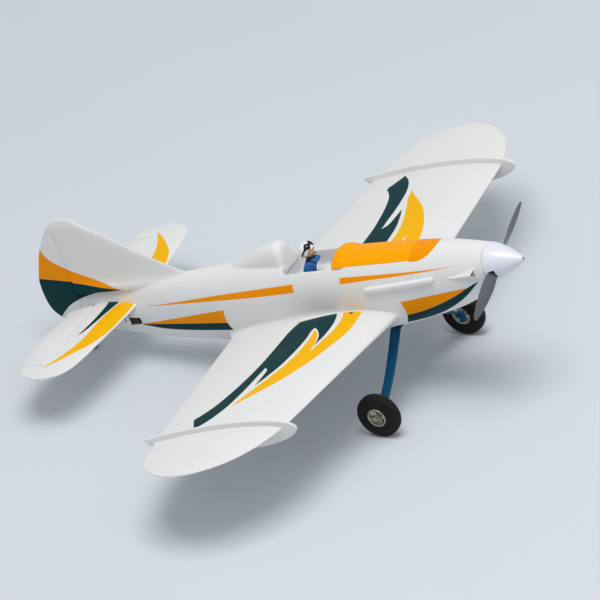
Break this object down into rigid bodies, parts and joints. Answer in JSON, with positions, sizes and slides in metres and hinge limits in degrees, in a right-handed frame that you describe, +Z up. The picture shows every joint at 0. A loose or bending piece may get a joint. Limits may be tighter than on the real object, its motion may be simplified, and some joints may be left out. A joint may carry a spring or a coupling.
{
  "type": "rc foam airplane",
  "caption": "Low-wing foam model aeroplane with wing fences, raked wing tips, a spinner and propeller, fixed undercarriage and a seated pilot figure.",
  "frame": {"origin": "on the ground, under the middle of the overall box", "axes": "+Z up, +X towards the propeller, +Y along the left wing"},
  "size_m": [0.883, 0.9836, 0.281],
  "materials": {
    "foam_white": "moulded foam, satin paint",
    "foam_orange": "moulded foam, satin paint",
    "magnet": "plated",
    "carbon": "carbon tube",
    "black_screw": "blackened",
    "nylon": "moulded",
    "steel": "bright",
    "spinner_gloss": "gloss",
    "propeller_grey": "moulded",
    "motor_grey": "machined",
    "winding": "lacquered copper",
    "black_plastic": "moulded",
    "heat_shrink": "shrink sleeve",
    "battery_wrap": "shrink sleeve",
    "strap": "woven hook and loop",
    "plywood": "light plywood",
    "receiver_grey": "moulded",
    "gear_blue": "anodised look",
    "hub_metal": "cast look",
    "tyre": "foam rubber",
    "suit": "painted",
    "skin": "painted",
    "helmet": "painted"
  },
  "bodies": {
    "airframe": {"fuselage_left": "foam_white", "fuselage_right": "foam_white", "body_magnets": "magnet", "wing_left": "foam_white", "wing_right": "foam_white", "wing_tip_left": "foam_white", "wing_tip_right": "foam_white", "fence_left": "foam_white", "fence_right": "foam_white", "wing_joiner": "carbon", "wing_screws": "black_screw", "tailplane": "foam_white", "elevator_hinges": "nylon", "rudder_hinges": "nylon", "motor_stator": "winding", "motor_mount": "black_plastic", "speed_controller": "heat_shrink", "battery": "battery_wrap", "battery_strap": "strap", "equipment_tray": "plywood", "receiver": "receiver_grey", "elevator_servo": "black_plastic", "rudder_servo": "black_plastic", "gear_plate": "black_plastic", "gear_leg_left": "gear_blue", "gear_leg_right": "gear_blue", "machine_screws": "steel", "wheel_axles": "steel", "wheel_collars": "steel", "tail_bearing": "black_plastic", "pilot_torso": "suit", "pilot_head": "skin", "pilot_helmet": "helmet"},
    "rotor": {"spinner": "spinner_gloss", "spinner_screw": "steel", "spinner_plate": "spinner_gloss", "propeller": "propeller_grey", "propeller_nut": "steel", "motor_shaft": "steel", "motor_bell": "motor_grey"},
    "elevator": {"elevator_left": "foam_white", "elevator_right": "foam_white", "elevator_joiner": "carbon", "elevator_hinge_pins": "steel", "elevator_horn": "nylon"},
    "rudder": {"rudder": "foam_white", "rudder_hinge_pins": "steel", "rudder_horn": "nylon", "tail_wheel_fork": "black_plastic"},
    "tail_wheel": {"tail_wheel": "tyre"},
    "left_wheel": {"hub_left": "hub_metal", "tyre_left": "tyre"},
    "right_wheel": {"hub_right": "hub_metal", "tyre_right": "tyre"},
    "hatch": {"battery_hatch": "foam_orange", "hatch_magnets": "magnet"},
    "elevator_arm": {"elevator_servo_arm": "nylon"},
    "elevator_rod": {"elevator_pushrod": "steel"},
    "rudder_arm": {"rudder_servo_arm": "nylon"},
    "rudder_rod": {"rudder_pushrod": "steel"}
  },
  "joints": [
    {"name": "rotor_spin", "type": "hinge", "parent": "airframe", "child": "rotor", "pos_m": [0.38228, 0, 0.23979], "axis": [0.9817, 0, 0.1905], "continuous": true},
    {"name": "elevator_hinge", "type": "hinge", "parent": "airframe", "child": "elevator", "pos_m": [-0.34599, 0, 0.08724], "axis": [0, 1, 0], "range_deg": [-22, 22]},
    {"name": "rudder_hinge", "type": "hinge", "parent": "airframe", "child": "rudder", "pos_m": [-0.37557, 0, 0.0927], "axis": [-0.1905, 0, 0.9817], "range_deg": [-25, 25]},
    {"name": "tail_wheel_spin", "type": "hinge", "parent": "rudder", "child": "tail_wheel", "pos_m": [-0.37407, 0, 0.0115], "axis": [0, 1, 0], "continuous": true},
    {"name": "left_wheel_spin", "type": "hinge", "parent": "airframe", "child": "left_wheel", "pos_m": [0.21403, 0.142, 0.036], "axis": [0, 1, 0], "continuous": true},
    {"name": "right_wheel_spin", "type": "hinge", "parent": "airframe", "child": "right_wheel", "pos_m": [0.21403, -0.142, 0.036], "axis": [0, 1, 0], "continuous": true},
    {"name": "hatch_lift", "type": "slide", "parent": "airframe", "child": "hatch", "axis": [-0.1905, 0, 0.9817], "range_m": [0, 0.06]},
    {"name": "elevator_arm_turn", "type": "hinge", "parent": "airframe", "child": "elevator_arm", "pos_m": [-0.27821, -0.02557, 0.07391], "axis": [0, 1, 0], "range_deg": [-22, 22]},
    {"name": "elevator_rod_pivot", "type": "hinge", "parent": "elevator_arm", "child": "elevator_rod", "pos_m": [-0.28069, -0.02557, 0.08667], "axis": [0, 1, 0], "range_deg": [-22, 22]},
    {"name": "rudder_arm_turn", "type": "hinge", "parent": "airframe", "child": "rudder_arm", "pos_m": [-0.27707, 0.02557, 0.06802], "axis": [0, 1, 0], "range_deg": [-25, 25]},
    {"name": "rudder_rod_pivot", "type": "hinge", "parent": "rudder_arm", "child": "rudder_rod", "pos_m": [-0.27954, 0.02557, 0.08078], "axis": [0, 1, 0], "range_deg": [-25, 25]}
  ],
  "couplings": [
    {"joint": "elevator_arm_turn", "follows": "elevator_hinge", "ratio": -1},
    {"joint": "elevator_rod_pivot", "follows": "elevator_hinge", "ratio": 1},
    {"joint": "rudder_arm_turn", "follows": "rudder_hinge", "ratio": -1},
    {"joint": "rudder_rod_pivot", "follows": "rudder_hinge", "ratio": 1}
  ]
}
